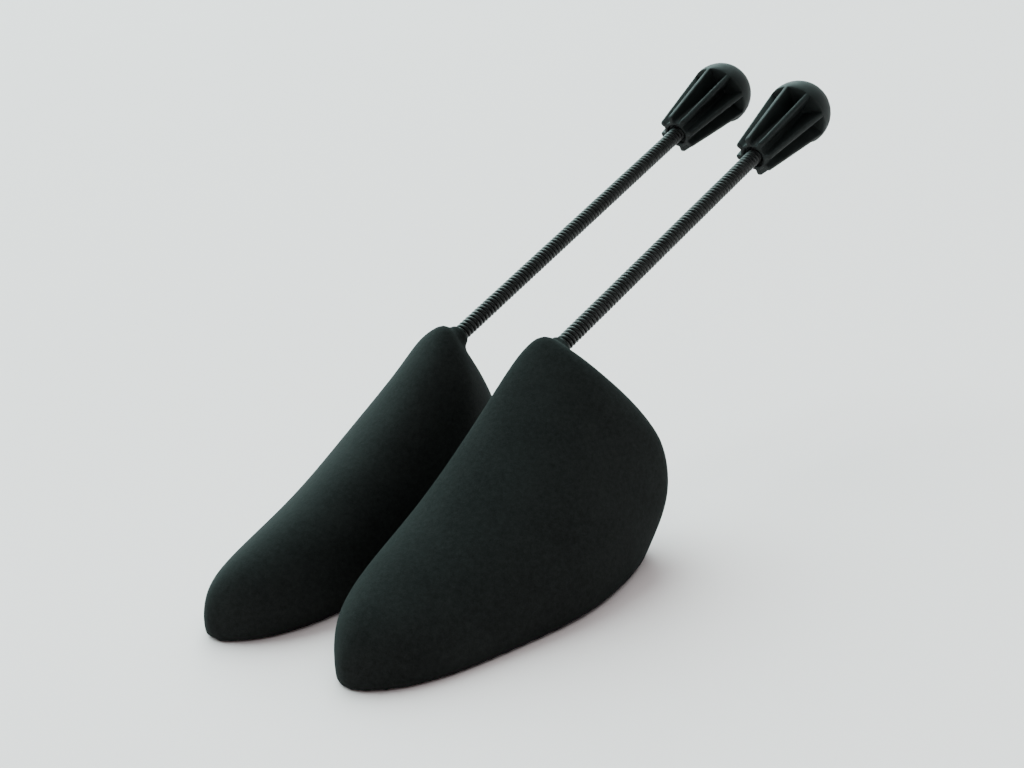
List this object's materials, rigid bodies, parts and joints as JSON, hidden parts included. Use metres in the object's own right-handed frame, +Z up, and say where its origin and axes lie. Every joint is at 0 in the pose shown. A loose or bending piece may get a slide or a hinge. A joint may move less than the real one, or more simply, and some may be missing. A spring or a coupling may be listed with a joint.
{
  "type": "shoe shaper",
  "caption": "Foam shoe shapers: toe-shaped foreparts, each with a flexible coil spring rod that ends in a ribbed, domed heel knob.",
  "frame": {"origin": "middle of the pair's bounding box, at the plane of the flat soles", "axes": "+Z up from the soles, +Y from the toes to the heel knobs, +X from the right foot's shaper to the left foot's"},
  "size_m": [0.1492, 0.3391, 0.1736],
  "materials": {
    "foam": "matte black flocked foam",
    "socket": "plain dark moulded plastic",
    "spring": "blackened steel wire, satin",
    "spigot": "plain dark moulded plastic",
    "knob": "satin black moulded plastic"
  },
  "bodies": {
    "left_shaper": {"left_forepart": "foam", "left_anchor_socket": "socket"},
    "left_rod": {"left_spring_rod": "spring"},
    "left_heel": {"left_knob": "knob", "left_knob_spigot": "spigot"},
    "right_shaper": {"right_forepart": "foam", "right_anchor_socket": "socket"},
    "right_rod": {"right_spring_rod": "spring"},
    "right_heel": {"right_knob": "knob", "right_knob_spigot": "spigot"}
  },
  "joints": [
    {"name": "left_rod_bend", "type": "hinge", "parent": "left_shaper", "child": "left_rod", "pos_m": [0.0265, 0.01433, 0.10237], "axis": [1, 0, 0], "range_deg": [-55, 75], "stiffness_Nm_per_rad": 1.2, "deforming": ["left_spring_rod"]},
    {"name": "left_rod_sway", "type": "hinge", "parent": "left_rod", "child": "left_heel", "pos_m": [0.0265, 0.06949, 0.12332], "axis": [0, -0.3551, 0.9348], "range_deg": [-60, 15], "stiffness_Nm_per_rad": 1.2, "deforming": ["left_spring_rod"]},
    {"name": "right_shaper_lift", "type": "slide", "parent": "left_shaper", "child": "right_shaper", "axis": [0, 0, 1], "range_m": [0, 0.1]},
    {"name": "right_rod_bend", "type": "hinge", "parent": "right_shaper", "child": "right_rod", "pos_m": [-0.0265, 0.01215, 0.10447], "axis": [1, 0, 0], "range_deg": [-55, 75], "stiffness_Nm_per_rad": 1.2, "deforming": ["right_spring_rod"]},
    {"name": "right_rod_sway", "type": "hinge", "parent": "right_rod", "child": "right_heel", "pos_m": [-0.0265, 0.07505, 0.12836], "axis": [0, -0.3551, 0.9348], "range_deg": [-15, 60], "stiffness_Nm_per_rad": 1.2, "deforming": ["right_spring_rod"]}
  ]
}
